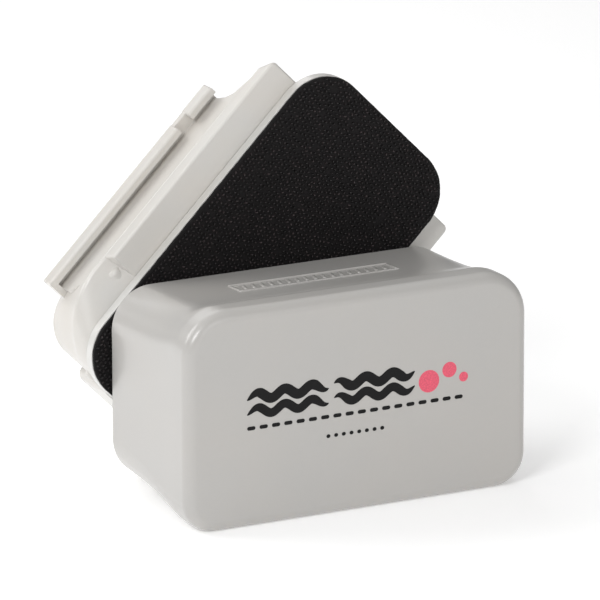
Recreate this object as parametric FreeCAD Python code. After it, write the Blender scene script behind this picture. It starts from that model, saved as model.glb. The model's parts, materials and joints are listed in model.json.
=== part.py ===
import FreeCAD, Part
import os
from math import pi, sin, cos
from FreeCAD import Vector as V

# Magnetic glass cleaner in two halves that hold each other through their glass faces.
# Millimetres. X runs along the handle, +Y goes through the glass from the dry half to the
# wet half, +Z is up. The halves meet at the glass plane. The handle stands on the bottom of
# its front rim, and the float is turned on the handle about the line of its centre magnet.

# ------------------------------------------------------------------ driving dimensions
GAP = 0.05                 # each glass face stops this far from the glass plane

# handle, dry side
H_FRONT_W, H_FRONT_H = 128.9, 76.0      # grip face
H_BACK_W, H_BACK_H = 128.4, 66.8        # glass side
H_DEPTH = 57.8                          # glass plane to grip face
H_R_BACK = 14.5                         # corner radius of the glass side's outline
H_R_FRONT, H_R_FRONT_TOP = 11.4, 16.0   # of the grip face's, below and above
H_EDGE_R = 3.8                          # rounding of the grip face's edge
H_RIM_Y = -49.2                         # the flat rim runs forward from here
H_WALL = 2.6
FELT_T, FELT_GLUE_T = 1.0, 0.15
H_COVER_T = 3.0
H_MAG_R, H_MAG_T, H_MAG_PITCH = 17.0, 12.0, 40.0
H_KEEPER = (114.0, 4.0, 36.0)
# flare of the waist: position from the glass plane, and the share of the way out to the rim
H_FLARE = ((-4.0, 0.012), (-11.0, 0.050), (-19.0, 0.115), (-26.5, 0.21), (-33.0, 0.335),
           (-37.8, 0.465), (-41.7, 0.62), (-44.9, 0.81), (-47.1, 0.935), (-48.4, 0.985))

# float, wet side: u along its length, v across it, y back from the glass plane
TWIST = 45.0                            # rest angle of the float on the handle
F_CX, F_CZ = -3.8, 30.4                 # its centre, from the middle of the handle
PAD_L, PAD_W, PAD_R, PAD_T = 133.7, 73.5, 16.5, 1.9
PAD_GLUE_T = 0.2
TRAY_T, SPIGOT_T = 4.45, 2.0
F_U0_FRONT, F_U1 = -66.2, 54.4          # ends of the hull's mouth
# hull stations behind the bevel: distance from the glass plane, low end, half width, and
# the corner radii at the low end and at the high end
HULL = ((12.2, -65.6, 47.3, 28.0, 22.0), (16.0, -65.0, 47.0, 27.0, 24.0),
        (20.0, -64.4, 46.0, 23.6, 25.0), (24.0, -63.9, 44.2, 19.6, 25.0),
        (28.0, -63.6, 41.8, 15.0, 24.0))
F_V_FRONT, F_R_FRONT = 36.4, 15.8       # the hull's mouth, under the tray
F_BACK_Y, F_CROWN_Y = 28.0, 34.5
F_WALL = 2.4
BLOCK_U0, BLOCK_U1, BLOCK_V, BLOCK_Y1 = -31.1, 56.0, 47.7, 12.2
CHAN_V, CHAN_U0 = 46.2, -48.6           # channel floor behind the block
RAIL_U0, RAIL_U1 = -50.8, 18.0
RAIL_V0, RAIL_V1 = 48.6, 51.4           # the lip's inner and outer faces
RAIL_Y0, RAIL_Y1, RAIL_WEB = 22.6, 28.0, 2.4
TAB_U0, TAB_U1 = 23.8, 36.0
END_V, END_U = 18.6, -67.1              # raised block on the low end
NUB_R = 2.4
F_MAG_R, F_MAG_T, F_MAG_PITCH = 14.0, 7.9, 38.0
F_KEEPER = (104.0, 2.0, 28.0)

# ------------------------------------------------------------------ helpers


def rect_wire(x0, x1, z0, z1, r, y, top=None):
    """Rounded rectangle in the plane Y = y: four lines and four arcs. The two upper corners
    may have a radius of their own."""
    t = r if top is None else top
    s, q = r * (1 - cos(pi / 4)), t * (1 - cos(pi / 4))
    p = [V(x0 + r, y, z0), V(x1 - r, y, z0), V(x1 - s, y, z0 + s), V(x1, y, z0 + r),
         V(x1, y, z1 - t), V(x1 - q, y, z1 - q), V(x1 - t, y, z1), V(x0 + t, y, z1),
         V(x0 + q, y, z1 - q), V(x0, y, z1 - t), V(x0, y, z0 + r), V(x0 + s, y, z0 + s)]
    e = [Part.LineSegment(p[0], p[1]).toShape(), Part.Arc(p[1], p[2], p[3]).toShape(),
         Part.LineSegment(p[3], p[4]).toShape(), Part.Arc(p[4], p[5], p[6]).toShape(),
         Part.LineSegment(p[6], p[7]).toShape(), Part.Arc(p[7], p[8], p[9]).toShape(),
         Part.LineSegment(p[9], p[10]).toShape(), Part.Arc(p[10], p[11], p[0]).toShape()]
    return Part.Wire(e)


def plate(x0, x1, z0, z1, r, y0, y1):
    """Rounded rectangular plate between two planes across Y."""
    face = Part.Face(rect_wire(x0, x1, z0, z1, r, y0))
    return face.extrude(V(0, y1 - y0, 0))


def cplate(w, h, r, y0, y1, inset=0.0):
    return plate(-w / 2 + inset, w / 2 - inset, -h / 2 + inset, h / 2 - inset,
                 max(r - inset, 0.8), y0, y1)


def box(x0, x1, y0, y1, z0, z1):
    return Part.makeBox(x1 - x0, y1 - y0, z1 - z0, V(x0, y0, z0))


def disc(x, z, r, y0, y1):
    return Part.makeCylinder(r, y1 - y0, V(x, y0, z), V(0, 1, 0))


def edges_at(shape, test):
    return [e for e in shape.Edges if test(e.BoundBox)]


def prism_uy(points, z0, z1):
    """Solid with a polygon in the X-Y plane, from z0 to z1."""
    pts = [V(x, y, z0) for x, y in points]
    return Part.Face(Part.makePolygon(pts + [pts[0]])).extrude(V(0, 0, z1 - z0))


parts = {}

# ------------------------------------------------------------------ handle
H_END = -(GAP + FELT_T + FELT_GLUE_T)            # the shell's rim and the cover's outer face


def handle_section(y, share, inset):
    hw = H_BACK_W / 2 + (H_FRONT_W - H_BACK_W) / 2 * share - inset
    hh = H_BACK_H / 2 + (H_FRONT_H - H_BACK_H) / 2 * share - inset
    r = H_R_BACK + (H_R_FRONT - H_R_BACK) * share - 10.0 * share * (1 - share) - inset
    top = H_R_BACK + (H_R_FRONT_TOP - H_R_BACK) * share - inset
    return rect_wire(-hw, hw, -hh, hh, r, y, top)


def handle_solid(inset, y_back, y_front, edge_r):
    """The handle's outline drawn in by an inset: flared waist, then the straight rim."""
    secs = [handle_section(y_back, 0.0, inset)]
    secs += [handle_section(y, s, inset) for y, s in H_FLARE if y < y_back - 1.5]
    secs.append(handle_section(H_RIM_Y, 1.0, inset))
    waist = Part.makeLoft(secs, True, False)
    rim = Part.Face(handle_section(H_RIM_Y, 1.0, inset)).extrude(V(0, y_front - H_RIM_Y, 0))
    rim = rim.makeFillet(edge_r, edges_at(rim, lambda b: b.YMax < y_front + 0.01))
    return waist.fuse(rim).removeSplitter()


outer = handle_solid(0.0, H_END, -H_DEPTH, H_EDGE_R)
cav_y0, cav_y1 = -H_DEPTH + H_WALL + 0.2, H_END - H_COVER_T
cavity = handle_solid(H_WALL, cav_y1, cav_y0, H_EDGE_R - H_WALL)
rabbet = cplate(H_BACK_W, H_BACK_H, H_R_BACK, cav_y1 - 0.001, H_END + 1.0, H_WALL)
shell = outer.cut(cavity).cut(rabbet)
ledge = cplate(H_BACK_W, H_BACK_H, H_R_BACK, cav_y1 - 3.0, cav_y1, H_WALL - 1.0).cut(
    cplate(H_BACK_W, H_BACK_H, H_R_BACK, cav_y1 - 4.0, cav_y1 + 1.0, H_WALL + 2.0))
shell = shell.fuse(ledge).removeSplitter()
parts["handle_shell"] = shell

BEAD = 0.8
parts["handle_base_cover"] = cplate(H_BACK_W, H_BACK_H, H_R_BACK, cav_y1, H_END, H_WALL + BEAD)
parts["handle_sealant_bead"] = cplate(H_BACK_W, H_BACK_H, H_R_BACK, cav_y1, H_END, H_WALL).cut(
    cplate(H_BACK_W, H_BACK_H, H_R_BACK, cav_y1 - 1, H_END + 1, H_WALL + BEAD))
parts["handle_felt_adhesive"] = cplate(H_BACK_W, H_BACK_H, H_R_BACK, H_END, H_END + FELT_GLUE_T, 1.4)
parts["handle_felt_pad"] = cplate(H_BACK_W, H_BACK_H, H_R_BACK, H_END + FELT_GLUE_T, -GAP, 0.5)

mag_y1 = cav_y1
mag_y0 = mag_y1 - H_MAG_T
for name, k in (("left", -1), ("centre", 0), ("right", 1)):
    m = disc(k * H_MAG_PITCH, 0, H_MAG_R, mag_y0, mag_y1)
    parts["handle_magnet_" + name] = m.makeChamfer(0.6, m.Edges[:1] + m.Edges[2:])
carrier = plate(-59.5, 59.5, -24, 24, 6, mag_y0 + 1.0, mag_y1)
for k in (-1, 0, 1):
    carrier = carrier.cut(disc(k * H_MAG_PITCH, 0, H_MAG_R + 0.2, mag_y0, mag_y1 + 1))
parts["handle_magnet_carrier"] = carrier
ky1 = mag_y0
ky0 = ky1 - H_KEEPER[1]
parts["handle_keeper_plate"] = plate(-H_KEEPER[0] / 2, H_KEEPER[0] / 2, -H_KEEPER[2] / 2,
                                     H_KEEPER[2] / 2, 5, ky0, ky1)
parts["handle_packing_foam"] = plate(-50, 50, -22, 22, 4, cav_y0, ky0)

# ------------------------------------------------------------------ float, in its own u, y, v
tray_y0 = GAP + PAD_T + PAD_GLUE_T
tray_y1 = tray_y0 + TRAY_T
pad = cplate(PAD_L, PAD_W, PAD_R, GAP, GAP + PAD_T)
glue = cplate(PAD_L, PAD_W, PAD_R, GAP + PAD_T, tray_y0, 1.5)
tray = cplate(PAD_L, PAD_W, PAD_R, tray_y0, tray_y1)
tray = tray.makeFillet(0.7, edges_at(tray, lambda b: b.YMin > tray_y1 - 0.01))


def hull_wire(u0, u1, v, r0, r1, y):
    """Outline of the hull across Y, with its own corner radius at each end."""
    s0, s1 = r0 * (1 - cos(pi / 4)), r1 * (1 - cos(pi / 4))
    p = [V(u0 + r0, y, -v), V(u1 - r1, y, -v), V(u1 - s1, y, -v + s1), V(u1, y, -v + r1),
         V(u1, y, v - r1), V(u1 - s1, y, v - s1), V(u1 - r1, y, v), V(u0 + r0, y, v),
         V(u0 + s0, y, v - s0), V(u0, y, v - r0), V(u0, y, -v + r0), V(u0 + s0, y, -v + s0)]
    e = [Part.LineSegment(p[0], p[1]).toShape(), Part.Arc(p[1], p[2], p[3]).toShape(),
         Part.LineSegment(p[3], p[4]).toShape(), Part.Arc(p[4], p[5], p[6]).toShape(),
         Part.LineSegment(p[6], p[7]).toShape(), Part.Arc(p[7], p[8], p[9]).toShape(),
         Part.LineSegment(p[9], p[10]).toShape(), Part.Arc(p[10], p[11], p[0]).toShape()]
    return Part.Wire(e)


def hull(inset):
    """Bevel up from the mouth, flared sides and a crowned back, drawn in by an inset."""
    y, u0, v, r0, r1 = HULL[0]
    # inside, the bevel and the crown stand one wall further back
    lift = 0.55 * inset

    def at(k, dy=0.0):
        """Station on the bevel, k of the way up it."""
        return hull_wire(F_U0_FRONT + (u0 - F_U0_FRONT) * k + inset, F_U1 - inset,
                         F_V_FRONT + (v - F_V_FRONT) * k - inset,
                         F_R_FRONT + (r0 - F_R_FRONT) * k - inset,
                         F_R_FRONT + (r1 - F_R_FRONT) * k - inset,
                         tray_y1 + (y + lift - tray_y1) * k + dy)

    low_w, top_w = at(0.90), at(1.0, 0.7)
    bevel = Part.makeLoft([at(0.0), low_w], True, True)
    turn = Part.makeLoft([low_w, at(0.955, 0.05), at(0.985, 0.28), top_w], True, False)
    secs = [top_w] + [hull_wire(u + inset, F_U1 - inset, w - inset, ra - inset, rb - inset, yy)
                      for yy, u, w, ra, rb in HULL[1:]]
    sides = Part.makeLoft(secs, True, False)
    y, u0, v, r0, r1 = HULL[-1]
    d = F_CROWN_Y - inset - y
    up = [secs[-1]]
    for k in (1, 2, 3, 4):
        t = k / 4 * pi / 2 * 0.9
        i = inset + 11.5 * (1 - cos(t)) + 0.9 * sin(t)
        up.append(hull_wire(u0 + i, F_U1 - i, v - i, r0 - inset, r1 - inset,
                            y + d * sin(t) / sin(pi / 2 * 0.9)))
    crown = Part.makeLoft(up, True, False)
    return bevel.fuse(turn).fuse(sides).fuse(crown).removeSplitter()


body = hull(0.0)
slope = [(BLOCK_U1, tray_y1), (51.3, BLOCK_Y1), (48.3, 14.2), (44.2, 15.6), (39.4, 17.2),
         (36.7, 20.0), (35.2, 24.0), (34.6, F_BACK_Y)]


def side_prism(points, v, side, z_in=30.0):
    z0, z1 = (z_in, v) if side > 0 else (-v, -z_in)
    return prism_uy(points, z0, z1)


def outer_edges(shape, v, side, keep=lambda b: True):
    return edges_at(shape, lambda b: abs(b.ZMin - side * v) < 0.01
                    and abs(b.ZMax - side * v) < 0.01 and keep(b))


for side in (1, -1):
    b1 = side_prism([(BLOCK_U0, tray_y1), slope[0], slope[1], (BLOCK_U0 - 1.5, BLOCK_Y1)],
                    BLOCK_V, side)
    b1 = b1.makeFillet(1.7, outer_edges(b1, BLOCK_V, side, lambda b: b.XMin > 50.0))
    b1 = b1.makeFillet(0.9, outer_edges(b1, BLOCK_V, side, lambda b: b.XMin < 50.0))
    c1 = side_prism([(BLOCK_U0 - 10.0, BLOCK_Y1)] + slope[1:] + [(CHAN_U0, F_BACK_Y), (CHAN_U0, 18.0)],
                    CHAN_V, side)
    c1 = c1.makeFillet(0.8, outer_edges(c1, CHAN_V, side, lambda b: b.XMin > 34.0))
    # the channel is sunk a little below the bevel's edge, with a rounded low end
    groove = side_prism([(CHAN_U0 + 5.0, BLOCK_Y1 + 0.9), (60.0, BLOCK_Y1 + 0.9), (60.0, 40.0),
                         (CHAN_U0, 40.0), (CHAN_U0, BLOCK_Y1 + 5.9), (CHAN_U0 + 1.5, BLOCK_Y1 + 2.4)],
                        60.0, side, CHAN_V)
    body = body.cut(groove)
    body = body.fuse(b1).fuse(c1)

# scraper rail on one long side, the latch tab beyond it, and the wall behind both
lip = box(RAIL_U0, RAIL_U1, RAIL_Y0, RAIL_Y1, RAIL_V0, RAIL_V1)
lip = lip.makeFillet(0.9, edges_at(lip, lambda b: b.ZMin > RAIL_V1 - 0.01))
tab = box(TAB_U0, TAB_U1, RAIL_Y0, RAIL_Y1, RAIL_V0, RAIL_V1)
tab = tab.makeFillet(0.9, edges_at(tab, lambda b: b.ZMin > RAIL_V1 - 0.01))
web = box(RAIL_U0, TAB_U1 - 0.8, RAIL_Y1 - RAIL_WEB, RAIL_Y1, 40.0, RAIL_V1 - 0.6)
stop = box(RAIL_U0, RAIL_U0 + 2.2, RAIL_Y0, RAIL_Y1, 40.0, RAIL_V0 + 0.5)
for piece in (web, stop, lip, tab):
    body = body.fuse(piece)

# raised block on the low end, flush with the tray there, and its soft edges
end = box(END_U, -55.0, tray_y1, F_BACK_Y + 1.0, -END_V, END_V)
end = end.makeFillet(3.2, edges_at(end, lambda b: b.XMax < END_U + 0.01 and b.YMin < b.YMax - 5))
end = end.makeFillet(2.6, edges_at(end, lambda b: b.YMin > F_BACK_Y + 0.99 and b.XMin < -56.0))
body = body.fuse(end)

# domed lugs beside the low end of each side block and of the end block
for side in (1, -1):
    lug = Part.makeCylinder(NUB_R, 8.0, V(BLOCK_U0 - 3.4, 10.6, side * 35.0), V(0, 0, side))
    lug = lug.makeFillet(1.3, edges_at(lug, lambda b: abs(b.ZMin - side * 43.0) < 0.01
                                       and abs(b.ZMax - side * 43.0) < 0.01))
    body = body.fuse(lug)
    lug = Part.makeCylinder(NUB_R, 8.0, V(-58.5, 13.0, side * (END_V + 3.4)), V(-1, 0, 0))
    lug = lug.makeFillet(1.3, edges_at(lug, lambda b: b.XMax < -66.4))
    body = body.fuse(lug)

inside = hull(F_WALL)
for side in (1, -1):
    inside = inside.fuse(side_prism([(-26.0, tray_y1 + 3.4), (47.5, tray_y1 + 3.4), (44.0, 12.0),
                                     (35.0, 14.6), (32.4, 20.0), (31.6, F_BACK_Y - F_WALL),
                                     (-45.0, F_BACK_Y - F_WALL), (-44.0, 16.0)],
                                    CHAN_V - F_WALL, side))
float_shell = body.cut(inside).removeSplitter()
F = {"float_shell": float_shell}

# tray with a spigot that enters the hull's mouth, and the bead round it
mouth = plate(F_U0_FRONT + F_WALL + 0.3, F_U1 - F_WALL, -F_V_FRONT + F_WALL, F_V_FRONT - F_WALL,
              F_R_FRONT - F_WALL, tray_y1, tray_y1 + SPIGOT_T)
spigot = plate(F_U0_FRONT + F_WALL + BEAD, F_U1 - F_WALL - BEAD, -F_V_FRONT + F_WALL + BEAD,
               F_V_FRONT - F_WALL - BEAD, F_R_FRONT - F_WALL - BEAD, tray_y1 - 0.5,
               tray_y1 + SPIGOT_T)
F["float_base_cover"] = tray.fuse(spigot).removeSplitter()
F["float_sealant_bead"] = mouth.cut(spigot)
F["float_scrub_pad"] = pad
F["float_pad_adhesive"] = glue
fm0 = tray_y1 + SPIGOT_T
fm1 = fm0 + F_MAG_T + 0.1
for name, k in (("left", -1), ("centre", 0), ("right", 1)):
    c = 0.05 if k == 0 else 0.0
    m = disc(k * F_MAG_PITCH, 0, F_MAG_R, fm0 + c, fm1 - c)
    F["float_magnet_" + name] = m.makeChamfer(0.5, m.Edges[:1] + m.Edges[2:])
fc = plate(-56, 46, -22, 22, 5, fm0, fm1 - 1.0)
for k in (-1, 0, 1):
    fc = fc.cut(disc(k * F_MAG_PITCH, 0, F_MAG_R + 0.2, fm0 - 1, fm1 + 1))
F["float_magnet_carrier"] = fc
F["float_keeper_plate"] = plate(-F_KEEPER[0] / 2, F_KEEPER[0] / 2, -F_KEEPER[2] / 2,
                                F_KEEPER[2] / 2, 4, fm1, fm1 + F_KEEPER[1])
F["float_buoyancy_foam"] = plate(-48, 36, -22, 22, 4, fm1 + F_KEEPER[1], F_CROWN_Y - F_WALL - 0.6)

for name, s in F.items():
    s = s.copy()
    s.rotate(V(0, 0, 0), V(0, 1, 0), -TWIST)
    s.translate(V(F_CX, 0, F_CZ))
    parts[name] = s

# ------------------------------------------------------------------ row frame and export
# Origin: middle of the bottom of the whole object's box, on the surface it stands on.
boxes = [s.optimalBoundingBox(False, False) for s in parts.values()]
lo = [min(getattr(b, k) for b in boxes) for k in ("XMin", "YMin", "ZMin")]
hi = [max(getattr(b, k) for b in boxes) for k in ("XMax", "YMax", "ZMax")]
print("box before shift", [round(v, 3) for v in lo], [round(v, 3) for v in hi])
shift = V(-(lo[0] + hi[0]) / 2, -(lo[1] + hi[1]) / 2, -lo[2])
print("shift", [round(v, 4) for v in shift], "twist axis at",
      [round(F_CX + shift.x, 4), round(F_CZ + shift.z, 4)], "glass plane Y", round(shift.y, 4))
os.makedirs("parts", exist_ok=True)
for name, s in parts.items():
    s = s.copy()
    s.translate(shift)
    if s.ShapeType != "Solid" and len(s.Solids) == 1:
        s = s.Solids[0]
    print(name, "solids", len(s.Solids), "valid", s.isValid(), "cm3", round(s.Volume / 1000, 2))
    s.exportStep("parts/" + name + ".step")
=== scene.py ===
import json
import math
import random

import bmesh
import bpy
import numpy as np
from mathutils import Matrix, Vector
from mathutils.bvhtree import BVHTree


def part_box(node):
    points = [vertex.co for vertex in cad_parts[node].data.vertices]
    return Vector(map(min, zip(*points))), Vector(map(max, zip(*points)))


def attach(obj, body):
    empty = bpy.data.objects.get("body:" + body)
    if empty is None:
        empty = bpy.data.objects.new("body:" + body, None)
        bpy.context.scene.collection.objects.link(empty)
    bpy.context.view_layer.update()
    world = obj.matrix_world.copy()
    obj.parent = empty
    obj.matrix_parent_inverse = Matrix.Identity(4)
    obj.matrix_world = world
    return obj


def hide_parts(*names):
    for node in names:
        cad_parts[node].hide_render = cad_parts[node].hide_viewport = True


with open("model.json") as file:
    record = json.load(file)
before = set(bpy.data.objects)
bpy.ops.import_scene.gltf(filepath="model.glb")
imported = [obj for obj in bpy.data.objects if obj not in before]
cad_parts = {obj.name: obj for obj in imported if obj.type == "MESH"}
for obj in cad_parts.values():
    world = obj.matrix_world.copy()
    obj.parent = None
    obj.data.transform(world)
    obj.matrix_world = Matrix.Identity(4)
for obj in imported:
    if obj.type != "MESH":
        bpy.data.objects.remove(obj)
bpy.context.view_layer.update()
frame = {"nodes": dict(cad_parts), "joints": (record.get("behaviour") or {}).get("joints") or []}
MM = 0.001
scene = bpy.context.scene

# ------------------------------------------------------------------ places, read from the CAD
hl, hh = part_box("handle_shell")
pl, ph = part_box("float_scrub_pad")
HX, HZ = (hl.x + hh.x) / 2, (hl.z + hh.z) / 2          # middle of the handle
GLASS = pl.y - 0.05 * MM                                # the plane of the glass
FRONT = hl.y                                            # the handle's grip face
twist = next(j for j in frame["joints"] if j["name"] == "twist")
FX, FZ = twist["pos_m"][0], twist["pos_m"][2]           # the float's middle
S = math.sqrt(0.5)


def on_handle(x, y, z):
    """Millimetres from the handle's middle on the glass plane to the row frame."""
    return Vector((HX + x * MM, GLASS + y * MM, HZ + z * MM))


def on_float(u, y, v):
    """Millimetres along and across the float, y back from the glass, to the row frame."""
    return Vector((FX + S * (u - v) * MM, GLASS + y * MM, FZ + S * (u + v) * MM))


# ------------------------------------------------------------------ node helpers


class Tree:
    """Short calls for building a material's nodes."""

    def __init__(self, name):
        self.m = bpy.data.materials.new(name)
        self.m.use_nodes = True
        self.t = self.m.node_tree
        self.t.nodes.clear()
        self.out = self.t.nodes.new("ShaderNodeOutputMaterial")
        self.p = self.t.nodes.new("ShaderNodeBsdfPrincipled")
        self.t.links.new(self.p.outputs[0], self.out.inputs[0])
        tc = self.t.nodes.new("ShaderNodeTexCoord")
        self.obj = tc.outputs["Object"]

    def n(self, kind, **kw):
        node = self.t.nodes.new(kind)
        for k, v in kw.items():
            setattr(node, k, v)
        return node

    def to(self, value, socket):
        if isinstance(value, bpy.types.NodeSocket):
            self.t.links.new(value, socket)
        else:
            socket.default_value = value

    def noise(self, scale, detail=2.0, rough=0.5, vec=None, dist=0.0):
        n = self.n("ShaderNodeTexNoise")
        self.to(self.obj if vec is None else vec, n.inputs["Vector"])
        n.inputs["Scale"].default_value = scale
        n.inputs["Detail"].default_value = detail
        n.inputs["Roughness"].default_value = rough
        n.inputs["Distortion"].default_value = dist
        return n.outputs["Fac"]

    def voronoi(self, scale, feature="F1", vec=None, out="Distance"):
        n = self.n("ShaderNodeTexVoronoi", feature=feature)
        self.to(self.obj if vec is None else vec, n.inputs["Vector"])
        n.inputs["Scale"].default_value = scale
        return n.outputs[out]

    def math(self, op, a, b=0.0, clamp=False):
        n = self.n("ShaderNodeMath", operation=op, use_clamp=clamp)
        self.to(a, n.inputs[0])
        self.to(b, n.inputs[1])
        return n.outputs[0]

    def remap(self, v, a, b, c, d):
        n = self.n("ShaderNodeMapRange")
        self.to(v, n.inputs["Value"])
        for k, x in zip(("From Min", "From Max", "To Min", "To Max"), (a, b, c, d)):
            n.inputs[k].default_value = x
        return n.outputs["Result"]

    def mix(self, fac, a, b, blend="MIX"):
        n = self.n("ShaderNodeMix", data_type="RGBA", blend_type=blend)
        self.to(fac, n.inputs["Factor"])
        self.to(a, n.inputs[6])
        self.to(b, n.inputs[7])
        return n.outputs[2]

    def bump(self, height, distance, strength=1.0, normal=None):
        n = self.n("ShaderNodeBump")
        n.inputs["Strength"].default_value = strength
        n.inputs["Distance"].default_value = distance
        self.to(height, n.inputs["Height"])
        if normal is not None:
            self.to(normal, n.inputs["Normal"])
        return n.outputs["Normal"]


def rgb(r, g, b):
    """sRGB 0-255 to a linear colour."""
    def f(c):
        c /= 255
        return c / 12.92 if c <= 0.04045 else ((c + 0.055) / 1.055) ** 2.4
    return (f(r), f(g), f(b), 1.0)


def scaled(c, k):
    return (min(c[0] * k, 1), min(c[1] * k, 1), min(c[2] * k, 1), 1.0)


# ------------------------------------------------------------------ materials


def moulded(name, base, warm, rough, painted_edge_highlight=0.5, grain=1.0):
    """Satin injection-moulded plastic: fine spark-eroded grain, slow sink-mark waves, a slightly
    polished edge and a painted highlight that lightens the edge colour."""
    t = Tree(name)
    cloud = t.remap(t.noise(22, 3, 0.55), 0.35, 0.65, 0, 1)
    fine = t.remap(t.noise(900, 2, 0.6), 0.3, 0.7, 0, 1)
    col = t.mix(cloud, base, warm)
    col = t.mix(t.math("MULTIPLY", fine, 0.10), col, scaled(base, 0.90))
    # edges: where a rounded normal leaves the true one; there the colour is lightened as a painted highlight
    # and the roughness is lowered as polish wear
    bev = t.n("ShaderNodeBevel", samples=4)
    bev.inputs["Radius"].default_value = 0.0011
    geo = t.n("ShaderNodeNewGeometry")
    dot = t.n("ShaderNodeVectorMath", operation="DOT_PRODUCT")
    t.to(bev.outputs[0], dot.inputs[0])
    t.to(geo.outputs["Normal"], dot.inputs[1])
    wear_and_highlight = t.remap(dot.outputs["Value"], 0.99, 0.86, 0, 1)
    wear_and_highlight = t.math("MULTIPLY", wear_and_highlight, t.remap(t.noise(160, 3, 0.6), 0.35, 0.6, 0.35, 1.0), True)
    # painted edge highlight: the edge colour is lifted towards a lighter copy of the base
    col = t.mix(t.math("MULTIPLY", wear_and_highlight, painted_edge_highlight), col, scaled(base, 1.16))
    t.to(col, t.p.inputs["Base Color"])
    r = t.remap(t.noise(34, 1, 0.4), 0.3, 0.7, rough - 0.012, rough + 0.012)
    r = t.math("SUBTRACT", r, t.math("MULTIPLY", wear_and_highlight, 0.06))
    t.to(r, t.p.inputs["Roughness"])
    t.p.inputs["IOR"].default_value = 1.5
    t.p.inputs["Specular IOR Level"].default_value = 0.5
    t.p.inputs["Coat Weight"].default_value = 0.35
    t.p.inputs["Coat Roughness"].default_value = 0.16
    soft = t.n("ShaderNodeBevel", samples=4)
    soft.inputs["Radius"].default_value = 0.00035
    b = t.bump(t.noise(22, 0, 0.4), 0.0004, 0.15, soft.outputs[0])
    b = t.bump(t.noise(3200, 2, 0.55), 0.00004, 0.30 * grain, b)
    b = t.bump(t.voronoi(1500), 0.00003, 0.22 * grain, b)
    t.to(b, t.p.inputs["Normal"])
    return t.m


def plain(name, base, rough, metallic=0.0, scale=900, depth=0.00004, tone=0.12):
    t = Tree(name)
    k = t.remap(t.noise(scale / 6, 4, 0.6), 0.3, 0.7, 0, 1)
    t.to(t.mix(k, scaled(base, 1 - tone), scaled(base, 1 + tone)), t.p.inputs["Base Color"])
    t.to(t.remap(t.noise(scale / 3, 3), 0.3, 0.7, rough - 0.06, rough + 0.06), t.p.inputs["Roughness"])
    t.p.inputs["Metallic"].default_value = metallic
    t.to(t.bump(t.noise(scale, 3, 0.6), depth, 0.5), t.p.inputs["Normal"])
    return t.m


HANDLE = moulded("handle_plastic", rgb(180, 178, 175), rgb(182, 179, 175), 0.30)
FLOAT = moulded("float_plastic", rgb(205, 203, 199), rgb(208, 203, 196), 0.32, 0.4)
COVER = moulded("cover_plastic", rgb(209, 208, 205), rgb(211, 208, 203), 0.34, 0.4)
INNER = plain("inner_plastic", rgb(188, 188, 184), 0.6)
FERRITE = plain("ferrite", rgb(62, 62, 66), 0.62, 0.25, 1500, 0.00006, 0.2)
FOAM = plain("foam", rgb(228, 228, 222), 0.92, 0, 500, 0.0003)
GLUE = plain("adhesive", rgb(196, 195, 186), 0.45, 0, 700)
SEAL = plain("sealant", rgb(214, 212, 205), 0.42, 0, 400, 0.0001)


def brushed():
    t = Tree("keeper_steel")
    mp = t.n("ShaderNodeMapping")
    t.to(t.obj, mp.inputs["Vector"])
    mp.inputs["Scale"].default_value = (40, 900, 900)
    streak = t.noise(1.0, 4, 0.7, mp.outputs[0])
    t.to(t.mix(streak, rgb(150, 152, 156), rgb(190, 191, 192)), t.p.inputs["Base Color"])
    t.p.inputs["Metallic"].default_value = 0.95
    t.to(t.remap(streak, 0.3, 0.7, 0.28, 0.45), t.p.inputs["Roughness"])
    t.to(t.bump(streak, 0.00004, 0.4), t.p.inputs["Normal"])
    return t.m


STEEL = brushed()


def hook_nylon(name, bed):
    """Black moulded nylon. A few hook-sized cells on the hooks are lifted bright as painted glints; the bed
    is darker and duller than the hooks that stand on it.
    """
    t = Tree(name)
    # hook-sized cells, cubed so that only a few come out bright: painted glints on the hooks
    k = t.voronoi(620, out="Color")
    tone = t.n("ShaderNodeSeparateColor")
    t.to(k, tone.inputs[0])
    v = t.math("POWER", tone.outputs[0], 3.0)
    if bed:
        t.to(t.mix(v, rgb(9, 6, 7), rgb(16, 12, 13)), t.p.inputs["Base Color"])
        t.p.inputs["Roughness"].default_value = 0.78
        t.p.inputs["Specular IOR Level"].default_value = 0.3
    else:
        # painted glints: the brightest hook cells reach rgb(53, 44, 45)
        t.to(t.mix(v, rgb(12, 8, 9), rgb(53, 44, 45)), t.p.inputs["Base Color"])
        t.to(t.remap(t.noise(1400, 2), 0.3, 0.7, 0.36, 0.58), t.p.inputs["Roughness"])
    t.to(t.bump(t.noise(2600, 3, 0.7), 0.00008, 0.5), t.p.inputs["Normal"])
    return t.m


HOOK_GLINTS = hook_nylon("hook_pad", False)
BED = hook_nylon("hook_bed", True)


def felt():
    """Pressed felt: short crossed fibres, soft sheen."""
    t = Tree("felt")
    a, b = t.n("ShaderNodeMapping"), t.n("ShaderNodeMapping")
    for m, turn, k in ((a, 0.5, (260, 300, 2600)), (b, -0.8, (2600, 300, 300))):
        t.to(t.obj, m.inputs["Vector"])
        m.inputs["Rotation"].default_value = (0, turn, 0)
        m.inputs["Scale"].default_value = k
    f1, f2 = t.noise(1.0, 3, 0.7, a.outputs[0], 0.8), t.noise(1.0, 3, 0.7, b.outputs[0], 0.8)
    fib = t.math("MAXIMUM", f1, f2)
    big = t.remap(t.noise(70, 3, 0.6), 0.3, 0.7, 0, 1)
    col = t.mix(t.remap(fib, 0.45, 0.75, 0, 1), rgb(176, 177, 175), rgb(226, 226, 222))
    col = t.mix(t.math("MULTIPLY", big, 0.25), col, rgb(186, 188, 188))
    t.to(col, t.p.inputs["Base Color"])
    t.p.inputs["Roughness"].default_value = 0.95
    t.p.inputs["Sheen Weight"].default_value = 0.5
    t.p.inputs["Sheen Roughness"].default_value = 0.4
    t.to(t.bump(fib, 0.0003, 0.7), t.p.inputs["Normal"])
    return t.m


FELT = felt()


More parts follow.
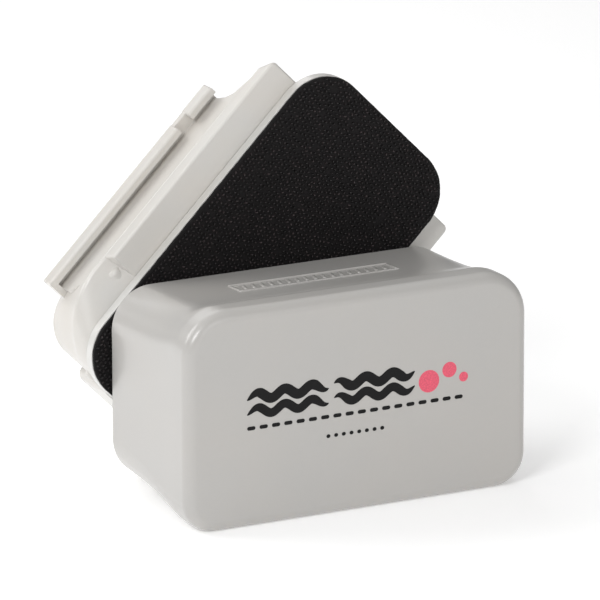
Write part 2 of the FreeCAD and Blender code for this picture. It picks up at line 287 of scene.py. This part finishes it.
def ink(name, base):
    t = Tree(name)
    k = t.remap(t.noise(1800, 2, 0.6), 0.3, 0.7, 0, 1)
    t.to(t.mix(k, scaled(base, 0.85), scaled(base, 1.15)), t.p.inputs["Base Color"])
    t.to(t.remap(t.noise(500, 2), 0.3, 0.7, 0.4, 0.52), t.p.inputs["Roughness"])
    t.p.inputs["Specular IOR Level"].default_value = 0.22
    t.to(t.bump(t.noise(2500, 2, 0.6), 0.00002, 0.4), t.p.inputs["Normal"])
    return t.m


INK, ACCENT = ink("print_ink", rgb(9, 8, 9)), ink("print_accent", rgb(226, 96, 116))

MATERIAL = {
    "handle_shell": HANDLE, "handle_base_cover": COVER, "handle_sealant_bead": SEAL,
    "handle_felt_adhesive": GLUE, "handle_magnet_carrier": INNER, "handle_keeper_plate": STEEL,
    "handle_packing_foam": FOAM, "float_shell": FLOAT, "float_base_cover": COVER,
    "float_sealant_bead": SEAL, "float_pad_adhesive": GLUE, "float_magnet_carrier": INNER,
    "float_keeper_plate": STEEL, "float_buoyancy_foam": FOAM,
}
for name, ob in frame["nodes"].items():
    mat = MATERIAL.get(name, FERRITE if "magnet" in name else INNER)
    for s in ob.material_slots:
        s.link = "OBJECT"
        s.material = mat

# ------------------------------------------------------------------ mesh helpers


def new_mesh(name, verts, faces, mat, body, smooth=False):
    me = bpy.data.meshes.new(name)
    me.from_pydata([tuple(v) for v in verts], [], faces)
    me.validate()
    me.materials.append(mat)
    for p in me.polygons:
        p.use_smooth = smooth
    ob = bpy.data.objects.new(name, me)
    scene.collection.objects.link(ob)
    bm = bmesh.new()
    bm.from_mesh(me)
    bmesh.ops.recalc_face_normals(bm, faces=bm.faces)
    bm.to_mesh(me)
    bm.free()
    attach(ob, body)
    return ob


def outline(hu, hv, r, step):
    """Rounded rectangle as points at about a steady step, counter-clockwise, in millimetres."""
    pts = []
    for cx, cy, a0 in ((hu - r, hv - r, 0), (-hu + r, hv - r, 90), (-hu + r, -hv + r, 180),
                       (hu - r, -hv + r, 270)):
        n = max(3, int(r * math.pi / 2 / step))
        for k in range(n + 1):
            a = math.radians(a0 + 90 * k / n)
            pts.append((cx + r * math.cos(a), cy + r * math.sin(a)))
    out = []
    for i, p in enumerate(pts):
        q = pts[(i + 1) % len(pts)]
        d = math.dist(p, q)
        if d < 1e-6:
            continue
        n = max(1, round(d / step))
        out += [(p[0] + (q[0] - p[0]) * k / n, p[1] + (q[1] - p[1]) * k / n) for k in range(n)]
    return out


def inside_rr(u, v, hu, hv, r):
    """Distance inside a rounded rectangle, negative outside."""
    qx, qy = abs(u) - (hu - r), abs(v) - (hv - r)
    out = math.hypot(max(qx, 0), max(qy, 0)) + min(max(qx, qy), 0) - r
    return -out


# ------------------------------------------------------------------ scrubbing pad
PAD_U, PAD_V, PAD_R = 133.7 / 2, 73.5 / 2, 16.5
rng = random.Random(7)


def pad_bed():
    """Bed of the hook pad: a die-cut slab whose cut edge wavers a little."""
    rim = outline(PAD_U, PAD_V, PAD_R, 1.1)
    n = len(rim)
    rings = [(1.95, 0.12), (1.80, 0.0), (1.35, 0.04), (0.98, 0.12), (0.86, 0.42)]
    verts, faces = [], []
    wave = [0.05 * math.sin(k * 0.9) + 0.035 * math.sin(k * 2.3 + 1) + rng.uniform(0, 0.05) for k in range(n)]
    for y, inset in rings:
        for k, (u, v) in enumerate(rim):
            a, b = rim[k - 1], rim[(k + 1) % n]
            nu, nv = b[1] - a[1], -(b[0] - a[0])
            d = math.hypot(nu, nv)
            i = inset + 0.12 + wave[k]
            verts.append(on_float(u - nu / d * i, y, v - nv / d * i))
    for j in range(len(rings) - 1):
        for k in range(n):
            a, b = j * n + k, j * n + (k + 1) % n
            faces.append((a, b, b + n, a + n))
    faces.append(tuple(range(n)))
    faces.append(tuple(range((len(rings) - 1) * n, len(rings) * n)))
    return new_mesh("scrub_pad_bed", verts, faces, BED, "float", False)


def pad_hooks():
    """Rows of bent hooks, each a tapered stem with its tip curled over."""
    verts, faces = [], []
    pitch_u, pitch_v, sides = 1.60, 1.46, 5
    nu, nv = int(PAD_U / pitch_u) + 1, int(PAD_V / pitch_v) + 1
    for j in range(-nv, nv + 1):
        for i in range(-nu, nu + 1):
            u = (i + (0.5 if j % 2 else 0.0)) * pitch_u + rng.uniform(-0.22, 0.22)
            v = j * pitch_v + rng.uniform(-0.20, 0.20)
            if inside_rr(u, v, PAD_U, PAD_V, PAD_R) < 0.85 or rng.random() < 0.02:
                continue
            turn = (0 if j % 2 else math.pi) + rng.gauss(0, 0.45)
            cu, cv = math.cos(turn), math.sin(turn)
            tall = rng.uniform(0.58, 0.80)
            thin = rng.uniform(0.85, 1.15)
            # centre line of the hook (sideways, depth, radius): up out of the bed, then curled over
            line = ((0.0, 0.92, 0.40), (0.02, 0.90 - tall * 0.50, 0.29), (0.15, 0.90 - tall * 0.90, 0.25),
                    (0.40, 0.90 - tall * 0.97, 0.21), (0.58, 0.90 - tall * 0.70, 0.14))
            base = len(verts)
            for q, (s, y, w) in enumerate(line):
                # the ring is square to the line: near the bed it lies flat, at the tip it stands up
                lean = (0.0, 0.3, 0.9, 1.5, 2.1)[q]
                w *= thin
                for k in range(sides):
                    a = 2 * math.pi * k / sides
                    du, dv = math.cos(a) * w, math.sin(a) * w
                    verts.append(on_float(u + cu * (s + du * math.cos(lean)) - cv * dv,
                                          max(y + du * math.sin(lean), 0.06),
                                          v + cv * (s + du * math.cos(lean)) + cu * dv))
            for r in range(len(line) - 1):
                for k in range(sides):
                    a, b = base + r * sides + k, base + r * sides + (k + 1) % sides
                    faces.append((a, b, b + sides, a + sides))
            faces.append(tuple(range(base, base + sides)))
            top = base + (len(line) - 1) * sides
            faces.append(tuple(range(top + sides - 1, top - 1, -1)))
    return new_mesh("scrub_pad_hooks", verts, faces, HOOK_GLINTS, "float", True)


bed = pad_bed()
hooks = pad_hooks()
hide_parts("float_scrub_pad")

# ------------------------------------------------------------------ felt face of the handle


def felt_pad():
    """Pressed felt sheet with a napped face and a softened cut edge."""
    hu, hv, r = 128.4 / 2 - 0.5, 66.8 / 2 - 0.5, 14.0
    step = 0.9
    rim = outline(hu - 0.05, hv - 0.05, r, step)
    n = len(rim)
    bm = bmesh.new()
    rings = []
    for y, inset in ((-1.05, 0.06), (-0.86, 0.0), (-0.42, 0.0), (-0.20, 0.10), (-0.10, 0.35)):
        ring = []
        for k, (u, v) in enumerate(rim):
            a, b = rim[k - 1], rim[(k + 1) % n]
            nu, nv = b[1] - a[1], -(b[0] - a[0])
            d = math.hypot(nu, nv)
            i = inset + rng.uniform(0, 0.10)
            ring.append(bm.verts.new(on_handle(u - nu / d * i, y, v - nv / d * i)))
        rings.append(ring)
    for a, b in zip(rings, rings[1:]):
        for k in range(n):
            bm.faces.new((a[k], a[(k + 1) % n], b[(k + 1) % n], b[k]))
    bm.faces.new(rings[0])
    # the napped face is a grid trimmed to the outline and joined to its rim
    face = bm.faces.new(rings[-1])
    bmesh.ops.triangulate(bm, faces=[face])
    cuts = []
    x = -hu
    while x < hu:
        cuts.append(("x", x + step))
        x += step * 2
    z = -hv
    while z < hv:
        cuts.append(("z", z + step))
        z += step * 2
    top_y = GLASS - 0.15 * MM
    for kind, c in cuts:
        geom = [f for f in bm.faces if all(v.co.y > top_y for v in f.verts)]
        es = list({e for f in geom for e in f.edges})
        vs = list({v for f in geom for v in f.verts})
        if kind == "x":
            co, no = on_handle(c, 0, 0), Vector((1, 0, 0))
        else:
            co, no = on_handle(0, 0, c), Vector((0, 0, 1))
        bmesh.ops.bisect_plane(bm, geom=vs + es + geom, plane_co=co, plane_no=no, dist=1e-6)
    for v in bm.verts:
        if v.co.y > top_y:
            x, z = (v.co.x - HX) / MM, (v.co.z - HZ) / MM
            nap = 0.02 * math.sin(x * 0.31 + 1.7) * math.sin(z * 0.27) + rng.uniform(-0.035, 0.015)
            v.co.y += nap * MM
    bmesh.ops.recalc_face_normals(bm, faces=bm.faces)
    me = bpy.data.meshes.new("felt_face")
    bm.to_mesh(me)
    bm.free()
    me.materials.append(FELT)
    for p in me.polygons:
        p.use_smooth = True
    ob = bpy.data.objects.new("felt_face", me)
    scene.collection.objects.link(ob)
    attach(ob, "handle")
    return ob


felt_ob = felt_pad()
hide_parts("handle_felt_pad")

# ------------------------------------------------------------------ generic printed mark
# Thin ink films on the grip face: plain ripples, three bubbles, and two rows of even strokes.
INK_T = 0.035


def film(name, loops, mat):
    """Closed thin plates from outlines in the grip face's plane (x, z), in millimetres."""
    verts, faces = [], []
    for loop in loops:
        base, n = len(verts), len(loop)
        for y in (0.0, -INK_T):
            for x, z in loop:
                p = on_handle(x, 0, z)
                verts.append((p.x, FRONT + (y - 0.004) * MM, p.z))
        faces.append(tuple(range(base, base + n)))
        faces.append(tuple(range(base + 2 * n - 1, base + n - 1, -1)))
        for k in range(n):
            a, b = base + k, base + (k + 1) % n
            faces.append((a, b, b + n, a + n))
    ob = new_mesh(name, verts, faces, mat, "handle")
    return ob


def ribbon(x0, x1, mid, half, n=60):
    """Strip round a centre line z = mid(x), with half width half(x) and rounded ends."""
    top, low = [], []
    for k in range(n + 1):
        x = x0 + (x1 - x0) * k / n
        z, w = mid(x), half(x)
        dx = 1e-3
        sl = (mid(x + dx) - mid(x - dx)) / (2 * dx)
        c = math.hypot(1, sl)
        top.append((x - sl / c * w, z + w / c))
        low.append((x + sl / c * w, z - w / c))
    return low + top[::-1]


def circle(x, z, r, n=48):
    return [(x + r * math.cos(2 * math.pi * k / n), z + r * math.sin(2 * math.pi * k / n)) for k in range(n)]


def dash(x0, x1, z, h):
    r = h / 2
    left = [(x0 + r - r * math.sin(math.pi * k / 8), z - r * math.cos(math.pi * k / 8)) for k in range(9)]
    right = [(x1 - r + r * math.sin(math.pi * k / 8), z + r * math.cos(math.pi * k / 8)) for k in range(9)]
    return left + right


def taper(x0, x1, full):
    def half(x):
        t = (x - x0) / (x1 - x0)
        return max(0.12, full * min(1.0, 6 * t, 6 * (1 - t)) ** 0.6)
    return half


BUBBLES = ((26.4, 3.6, 3.9), (34.2, 6.6, 2.7), (39.6, 3.4, 1.7))
waves = []
for x0, x1 in ((-42.0, -11.5), (-9.5, 21.0)):
    waves.append(ribbon(x0, x1, lambda x: 7.4 + 1.25 * math.sin(x * 0.62), taper(x0, x1, 1.75), 120))
    waves.append(ribbon(x0, x1, lambda x: 2.3 + 1.25 * math.sin(x * 0.62), taper(x0, x1, 1.55), 120))
mark = film("print_ripples", waves, INK)
bubbles = film("print_bubbles", [circle(*b) for b in BUBBLES], ACCENT)
small = [dash(-42.0 + 4.6 * k, -38.9 + 4.6 * k, -3.4, 1.35) for k in range(18)]
small += [dash(-12.4 + 2.9 * k, -10.9 + 2.9 * k, -10.2, 1.3) for k in range(8)]
strokes = film("print_strokes", small, INK)

# ------------------------------------------------------------------ raised rib panel on the waist
shell_ob = frame["nodes"]["handle_shell"]
bvh = BVHTree.FromPolygons([v.co.copy() for v in shell_ob.data.vertices],
                           [tuple(p.vertices) for p in shell_ob.data.polygons])


def waist_z(x, y):
    """Height of the handle's top over a point, in the row frame."""
    p = on_handle(x, y, 60)
    hit = bvh.ray_cast(p, Vector((0, 0, -1)))
    return hit[0].z


def pillow(outer, height, rounding, sink=0.35):
    """A raised plate that follows the waist: side walls, a rounded shoulder and a top."""
    n = len(outer)
    cx, cy = sum(p[0] for p in outer) / n, sum(p[1] for p in outer) / n
    levels = [(0.0, -sink), (0.0, height - rounding), (rounding * 0.3, height - rounding * 0.3),
              (rounding, height)]
    verts, faces = [], []
    for inset, up in levels:
        for k, (x, y) in enumerate(outer):
            a, b = outer[k - 1], outer[(k + 1) % n]
            nx, ny = b[1] - a[1], -(b[0] - a[0])
            d = math.hypot(nx, ny) or 1
            xx, yy = x - nx / d * inset, y - ny / d * inset
            p = on_handle(xx, yy, 0)
            verts.append((p.x, p.y, waist_z(xx, yy) + up * MM))
    for j in range(len(levels) - 1):
        for k in range(n):
            a, b = j * n + k, j * n + (k + 1) % n
            faces.append((a, b, b + n, a + n))
    faces.append(tuple(range(n)))
    faces.append(tuple(range((len(levels) - 1) * n, len(levels) * n)))
    return verts, faces


def slab(x0, x1, y0, y1, r, step=1.2, skew=0.0):
    cx, cy = (x0 + x1) / 2, (y0 + y1) / 2
    pts = outline((x1 - x0) / 2, (y1 - y0) / 2, r, step)
    return [(cx + x + skew * y, cy + y) for x, y in pts]


PANEL = (-28.8, 31.7, -27.0, -17.2)
verts, faces = [], []


def add(piece):
    v, f = piece
    base = len(verts)
    verts.extend(v)
    faces.extend(tuple(i + base for i in q) for q in f)


x0, x1, y0, y1 = PANEL
w = 1.0
add(pillow(slab(x0, x1, y1 - w, y1, 0.48), 0.50, 0.35))
add(pillow(slab(x0, x1, y0, y0 + w, 0.48), 0.30, 0.25))
add(pillow(slab(x0, x0 + w, y0 + w + 0.2, y1 - w - 0.2, 0.48), 0.40, 0.3))
add(pillow(slab(x1 - w, x1, y0 + w + 0.2, y1 - w - 0.2, 0.48), 0.40, 0.3))
k = x0 + 4.2
while k < x1 - 3.4:
    add(pillow(slab(k - 0.65, k + 0.65, y0 + 2.4, y1 - 2.4, 0.62, skew=0.25), 0.30, 0.25))
    k += 3.3
ribs = new_mesh("waist_ribs", verts, faces, HANDLE, "handle", True)

# ------------------------------------------------------------------ floor, light, camera


def area(name, loc, aim, size, power, colour=(1, 1, 1)):
    d = bpy.data.lights.new(name, "AREA")
    d.shape, d.size, d.size_y = "RECTANGLE", size[0], size[1]
    d.energy, d.color = power, colour
    o = bpy.data.objects.new(name, d)
    o.location = loc
    o.rotation_mode = "QUATERNION"
    o.rotation_quaternion = (Vector(aim) - Vector(loc)).to_track_quat("-Z", "Y")
    scene.collection.objects.link(o)
    return o


me = bpy.data.meshes.new("floor")
me.from_pydata([(-6, -6, 0), (6, -6, 0), (6, 6, 0), (-6, 6, 0)], [], [(0, 1, 2, 3)])
floor = bpy.data.objects.new("floor", me)
scene.collection.objects.link(floor)
ft = Tree("floor_paper")
k = ft.remap(ft.noise(300, 3), 0.3, 0.7, 0, 1)
ft.to(ft.mix(k, (0.90, 0.90, 0.90, 1), (0.92, 0.92, 0.92, 1)), ft.p.inputs["Base Color"])
ft.p.inputs["Roughness"].default_value = 1.0
ft.p.inputs["Specular IOR Level"].default_value = 0.0
ft.p.inputs["Emission Color"].default_value = (1, 1, 1, 1)
ft.p.inputs["Emission Strength"].default_value = 0.27
me.materials.append(ft.m)

world = bpy.data.worlds.new("studio")
scene.world = world
world.use_nodes = True
bg = world.node_tree.nodes["Background"]
bg.inputs[0].default_value = (1.0, 1.0, 1.0, 1)
bg.inputs[1].default_value = 0.22
MID = (0, 0, 0.05)
area("overhead", (0, 0, 1.3), MID, (1.8, 1.8), 5.5)
area("back_top", (0, 0.9, 0.95), MID, (0.8, 0.8), 2.9)
area("left_back", (-0.95, 0.75, 0.8), MID, (0.8, 0.8), 7.6)
area("left_front", (-0.95, -0.75, 0.8), MID, (0.5, 0.5), 8.2)
area("front_fill", (0.2, -1.3, 0.5), MID, (0.8, 0.8), 3.3)

AZ, EL, ROLL, DIST = math.radians(27.237), math.radians(16.005), math.radians(-0.16), 2.349
fwd = Vector((math.sin(AZ) * math.cos(EL), math.cos(AZ) * math.cos(EL), -math.sin(EL)))
right = fwd.cross(Vector((0, 0, 1))).normalized()
up = right.cross(fwd)
right, up = (right * math.cos(ROLL) + up * math.sin(ROLL),
             -right * math.sin(ROLL) + up * math.cos(ROLL))
SCALE = 2.932 / MM                                       # pixels a metre at the target
target = on_handle(0, 0, 0)
aim = target + right * ((300 - 280.39) / SCALE) + up * ((358.66 - 300) / SCALE)
cd = bpy.data.cameras.new("camera")
cd.sensor_fit, cd.sensor_width = "HORIZONTAL", 36.0
cd.lens = SCALE * DIST * 36.0 / 600
cd.clip_start, cd.clip_end = 0.05, 50
cam = bpy.data.objects.new("camera", cd)
scene.collection.objects.link(cam)
rot = Matrix((right, up, -fwd)).transposed()
cam.matrix_world = Matrix.Translation(aim - fwd * DIST) @ rot.to_4x4()
scene.camera = cam
scene.view_settings.view_transform = "Standard"
scene.view_settings.look = "None"
